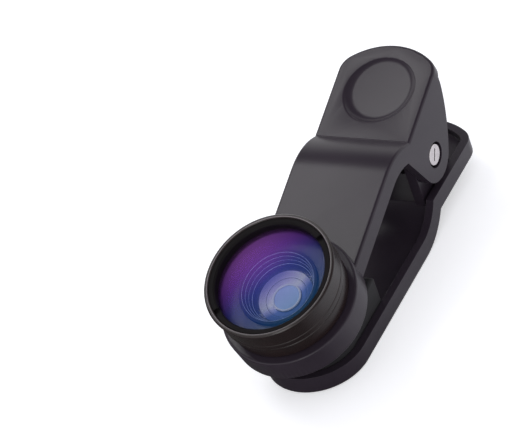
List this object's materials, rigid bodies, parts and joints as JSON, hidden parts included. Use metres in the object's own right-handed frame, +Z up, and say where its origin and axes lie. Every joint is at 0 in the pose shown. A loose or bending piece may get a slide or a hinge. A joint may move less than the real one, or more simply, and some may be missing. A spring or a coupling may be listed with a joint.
{
  "type": "clip-on phone camera lens",
  "caption": "Sprung clip with a wide-angle lens head screwed onto a close-up base over the hole in its front jaw; it grips a phone between rubber pads.",
  "frame": {"origin": "on the flat outer face of the rear jaw, at the point opposite the middle of the lens ring when the arms are parallel", "axes": "+X along the pivot pin towards its head, +Y from the jaws to the thumb plates, +Z up from the rear jaw's resting face"},
  "size_m": [0.0264, 0.075, 0.0292],
  "materials": {
    "clip_plastic": "satin moulded",
    "pad_rubber": "matt",
    "black_anodised": "black anodised, satin",
    "matt_black": "matt",
    "coated_glass": "polished, with a violet-blue coating",
    "pin_steel": "bright nickel-plated",
    "spring_steel": "drawn wire"
  },
  "bodies": {
    "rear_arm_body": {"rear_arm": "clip_plastic", "rear_jaw_pad": "pad_rubber", "torsion_spring": "spring_steel"},
    "front_arm_body": {"front_arm": "clip_plastic", "front_jaw_pad": "pad_rubber", "pivot_pin": "pin_steel", "thread_insert": "black_anodised"},
    "lens_base": {"base_barrel": "black_anodised", "macro_element": "coated_glass", "macro_retaining_ring": "black_anodised"},
    "wide_angle_head": {"head_barrel": "black_anodised", "rear_element": "coated_glass", "light_baffle": "matt_black", "element_spacer": "matt_black", "front_element": "coated_glass", "front_retaining_ring": "black_anodised"}
  },
  "joints": [
    {"name": "jaw_hinge", "type": "hinge", "parent": "rear_arm_body", "child": "front_arm_body", "pos_m": [0, 0.0404, 0.0142], "axis": [-1, 0, 0], "range_deg": [0, 30], "stiffness_Nm_per_rad": 0.15, "springref_deg": -60.16, "deforming": ["torsion_spring"]},
    {"name": "base_unscrews", "type": "slide", "parent": "front_arm_body", "child": "lens_base", "axis": [0, -0.3109, 0.9504], "range_m": [0, 0.012]},
    {"name": "head_unscrews", "type": "slide", "parent": "lens_base", "child": "wide_angle_head", "axis": [0, -0.3109, 0.9504], "range_m": [0, 0.008]}
  ]
}
